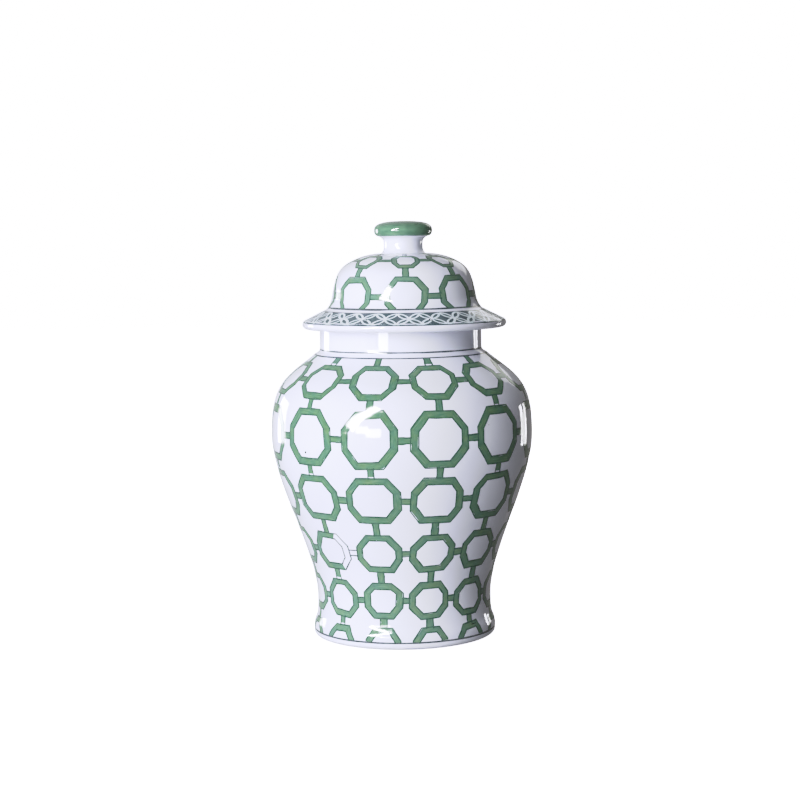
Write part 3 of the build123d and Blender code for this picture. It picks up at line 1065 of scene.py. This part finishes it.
def add_camera():
    data = bpy.data.cameras.new("camera")
    data.lens = LENS
    data.sensor_width = SENSOR_WIDTH
    camera = bpy.data.objects.new("camera", data)
    bpy.context.scene.collection.objects.link(camera)
    place = Matrix.Translation((CAMERA_SIDE, -CAMERA_DISTANCE, CAMERA_HEIGHT))
    pitch = Matrix.Rotation(math.radians(90 - CAMERA_TILT), 4, "X")
    roll = Matrix.Rotation(math.radians(-CAMERA_ROLL), 4, "Z")
    camera.matrix_world = place @ pitch @ roll
    bpy.context.scene.camera = camera


def add_floor(material):
    """A white sheet that fills the view. It throws no light back on the jar and isn't mirrored in it."""
    size = FLOOR_HALF_WIDTH
    mesh = bpy.data.meshes.new("floor")
    corners = [(-size, -size, 0), (size, -size, 0), (size, size, 0), (-size, size, 0)]
    mesh.from_pydata(corners, [], [(0, 1, 2, 3)])
    mesh.materials.append(material)
    floor = bpy.data.objects.new("floor", mesh)
    bpy.context.scene.collection.objects.link(floor)
    floor.visible_diffuse = False
    floor.visible_glossy = False
    floor.visible_shadow = False


def toward(azimuth, elevation, distance):
    """A point round the jar: azimuth 0 is the front, and grows towards +X."""
    turn, rise = math.radians(azimuth), math.radians(elevation)
    level = distance * math.cos(rise)
    return Vector((level * math.sin(turn), -level * math.cos(turn), distance * math.sin(rise)))


def add_light(name, aim, azimuth, elevation, distance, size, radiance, roll=0.0, colour=(1.0, 1.0, 1.0)):
    """A soft panel that faces its aim. Radiance is what a mirror would show of it, on PAPER's scale."""
    data = bpy.data.lights.new(name, "AREA")
    data.shape = "RECTANGLE"
    data.size, data.size_y = size
    data.energy = radiance * math.pi * size[0] * size[1]
    data.color = colour
    light = bpy.data.objects.new(name, data)
    bpy.context.scene.collection.objects.link(light)
    place = Vector(aim) + toward(azimuth, elevation, distance)
    turned = (Vector(aim) - place).to_track_quat("-Z", "Y").to_matrix().to_4x4()
    spin = Matrix.Rotation(math.radians(roll), 4, "Z")
    light.matrix_world = Matrix.Translation(place) @ turned @ spin
    light.visible_camera = False
    return light


def add_world():
    """A pale studio, white to the camera. Its soft light is faint except behind on the right, and the glaze
    mirrors it brightest behind on the left and darkest in front on the right."""
    world = bpy.data.worlds.new("studio")
    bpy.context.scene.world = world
    world.use_nodes = True
    tree = world.node_tree
    background = tree.nodes["Background"]
    direction = node(tree, "ShaderNodeTexCoord").outputs["Generated"]
    split = node(tree, "ShaderNodeSeparateXYZ")
    tree.links.new(direction, split.inputs[0])
    side, depth = [maths(tree, "MULTIPLY_ADD", split.outputs[axis], 0.5, 0.5) for axis in "XY"]
    behind = ramp(tree, depth, [(0.5, BLACK), (0.75, WHITE)])
    front = ramp(tree, side, [
        (0.0, (0.34, 0.35, 0.37, 1)),
        (0.5, (0.27, 0.28, 0.3, 1)),
        (0.8, (0.17, 0.17, 0.18, 1)),
        (1.0, (0.12, 0.115, 0.11, 1)),
    ])
    back = ramp(tree, side, [
        (0.0, (0.6, 0.62, 0.66, 1)),
        (0.45, (0.75, 0.77, 0.8, 1)),
        (0.6, (0.25, 0.24, 0.23, 1)),
        (1.0, (0.19, 0.185, 0.18, 1)),
    ])
    mirrored = mixed(tree, behind, front, back)
    soft_back = ramp(tree, side, [(0.4, (0.1, 0.1, 0.11, 1)), (0.6, grey(0.44))])
    soft = mixed(tree, behind, (0.06, 0.06, 0.065, 1), soft_back)
    path = node(tree, "ShaderNodeLightPath")
    seen = mixed(tree, path.outputs["Is Glossy Ray"], soft, mirrored)
    shown = mixed(tree, path.outputs["Is Camera Ray"], seen, grey(PAPER))
    tree.links.new(shown, background.inputs["Color"])
    background.inputs["Strength"].default_value = 1.0


SOFT_AIM = (0.0, 0.0, 0.22)
MIRROR_AIM = (0.0, 0.0, 0.23)


def add_lights():
    """Soft lights that shade the jar without being mirrored, and panels that are only mirrored."""
    # name, azimuth, elevation, radiance and colour
    soft = [
        ("key_soft", -30, 15, 14, (0.99, 1.0, 1.06)),
        ("key_low", -30, -25, 4, (0.99, 1.0, 1.06)),
        ("key_high", -30, 42, 3, (0.99, 1.0, 1.06)),
        ("side_soft", -60, 0, 6, (0.97, 1.0, 1.3)),
        ("back_soft", 178, 15, 8, (1.0, 1.0, 1.0)),
    ]
    for name, azimuth, elevation, radiance, colour in soft:
        light = add_light(name, SOFT_AIM, azimuth, elevation, 2.2, (1.1, 1.1), radiance, colour=colour)
        light.visible_glossy = False
    # name, azimuth, elevation, distance, size, radiance and roll
    mirrored = [
        ("key_softbox", -34, 15, 2.2, (1.3, 0.27), 120, 50),
        ("key_corner", -34, 2, 2.2, (0.4, 0.2), 26, 0),
        ("key_low_edge", -24, 0, 2.2, (0.5, 0.2), 22, 0),
        ("strip_behind_left", -129, 1.5, 1.9, (0.56, 0.64), 11, 0),
        ("strip_behind_right", 128, -3.5, 1.9, (0.18, 0.5), 10, 0),
        ("strip_behind_right_2", 136, -3.5, 1.9, (0.14, 0.44), 9, 0),
        ("high_behind_right", 152, 26, 1.9, (0.9, 0.6), 1.5, 0),
    ]
    for name, azimuth, elevation, distance, size, radiance, roll in mirrored:
        light = add_light(name, MIRROR_AIM, azimuth, elevation, distance, size, radiance, roll)
        light.visible_diffuse = False


# The brightest light that the picture can hold, as a multiple of the light that just prints as white
# without the curve. The curve leaves shade alone and presses the lights above half together, as a camera does
PAPER = 2.6
TONE_CURVE = [(0.3, 0.3), (0.5, 0.5), (0.8, 0.69), (1.2, 0.8), (1.6, 0.88), (2.0, 0.94)]
# Blue alone is lifted first in the highlights, as shares of that brightest light, for cool whites over
# neutral shade
BLUE_CURVE = [(0.1, 0.1), (0.2, 0.2), (0.3, 0.33), (0.45, 0.5), (0.6, 0.71), (0.7, 0.86)]


def set_tone():
    view = bpy.context.scene.view_settings
    view.view_transform = "Standard"
    view.use_curve_mapping = True
    mapping = view.curve_mapping
    mapping.white_level = (PAPER, PAPER, PAPER)
    for light, shown in TONE_CURVE:
        mapping.curves[3].points.new(light / PAPER, shown)
    for plain, blue in BLUE_CURVE:
        mapping.curves[2].points.new(plain, blue)
    mapping.update()


def main():
    glaze, bare, green = porcelain(), biscuit(), knob_green()
    body_materials = [glaze, bare, green]
    build_jar(body_materials)
    build_lid(body_materials)
    build_locating_ring(body_materials)
    build_knob(body_materials)
    paint = green_paint()
    green_line = drawn_line("green_outline", (47, 77, 64), (65, 97, 80), (90, 121, 102))
    slate_line = drawn_line("slate_outline", (70, 78, 82), (88, 96, 99), (116, 124, 124))
    teal_line = drawn_line("teal_outline", (43, 58, 62), (61, 78, 82), (84, 99, 102))
    iron = drawn_line("iron_spot", (18, 19, 22), (26, 27, 30), (36, 38, 40))
    build_jar_paint(paint, green_line, slate_line, iron)
    lid_line = drawn_line("lid_outline", (54, 84, 71), (72, 103, 87), (97, 127, 109))
    build_lid_paint(paint, lid_line, slate_line)
    build_brim_band(band_ground(), band_motif(), teal_line)
    add_camera()
    add_floor(floor_surface())
    add_world()
    add_lights()
    set_tone()


main()
